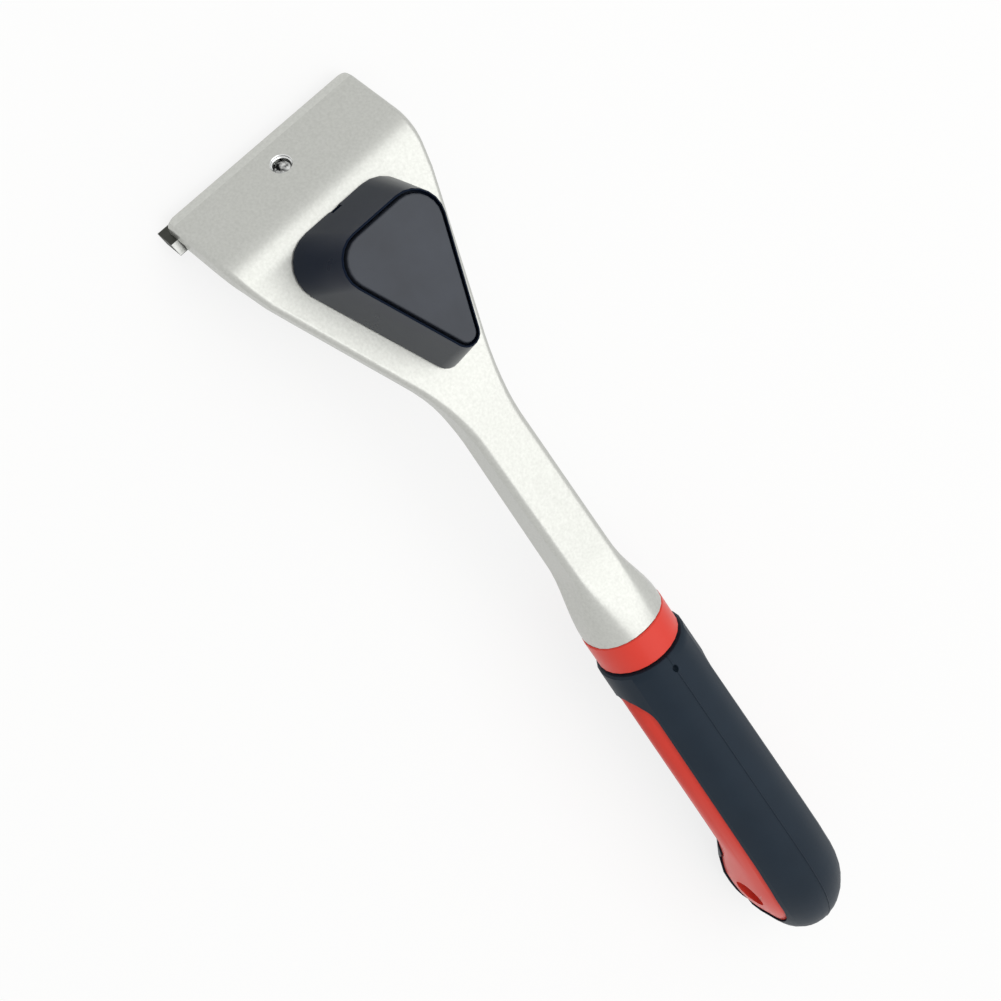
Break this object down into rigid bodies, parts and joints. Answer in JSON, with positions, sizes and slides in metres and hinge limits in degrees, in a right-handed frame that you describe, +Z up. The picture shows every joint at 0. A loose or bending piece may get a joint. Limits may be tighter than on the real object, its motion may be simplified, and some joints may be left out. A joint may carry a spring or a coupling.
{
  "type": "two-hand paint scraper",
  "caption": "Two-hand pull scraper: cast head and neck, blade clamped under the sloping front, three-cornered palm knob, soft-grip handle with a hang hole.",
  "frame": {"origin": "middle of the tool's length and width on the surface it rests on, blade edge and handle end down", "axes": "+X from the blade toward the handle's end, +Z up, +Y to the side that the picture doesn't show"},
  "size_m": [0.301, 0.0641, 0.0585],
  "materials": {
    "cast_silver": "satin silver lacquer on die-cast aluminium",
    "blade_steel": "ground hardened steel",
    "plate_steel": "zinc-plated pressed steel",
    "screw_steel": "zinc-plated",
    "knob_black": "smooth satin moulding",
    "cap_black": "fine-grained satin moulding",
    "core_red": "smooth moulding",
    "grip_black": "matt soft-touch overmould"
  },
  "bodies": {
    "tool": {"head_casting": "cast_silver", "knob_body": "knob_black", "knob_cap": "cap_black", "knob_screw_front": "screw_steel", "knob_screw_rear": "screw_steel", "handle_core": "core_red", "handle_grip": "grip_black"},
    "blade": {"blade": "blade_steel"},
    "plate": {"clamp_plate": "plate_steel"},
    "screw": {"clamp_screw": "screw_steel"}
  },
  "joints": [
    {"name": "plate_slide", "type": "slide", "parent": "tool", "child": "plate", "axis": [0.8275, 0, -0.5614], "range_m": [0, 0.0032]},
    {"name": "screw_turn", "type": "hinge", "parent": "plate", "child": "screw", "pos_m": [-0.13886, 0, 0.00791], "axis": [0.8275, 0, -0.5614], "range_deg": [0, 1440]},
    {"name": "blade_slide", "type": "slide", "parent": "tool", "child": "blade", "axis": [0, -1, 0], "range_m": [-0.03, 0.03]}
  ],
  "couplings": [
    {"joint": "screw_turn", "follows": "plate_slide", "rad_per_m": 7854}
  ]
}
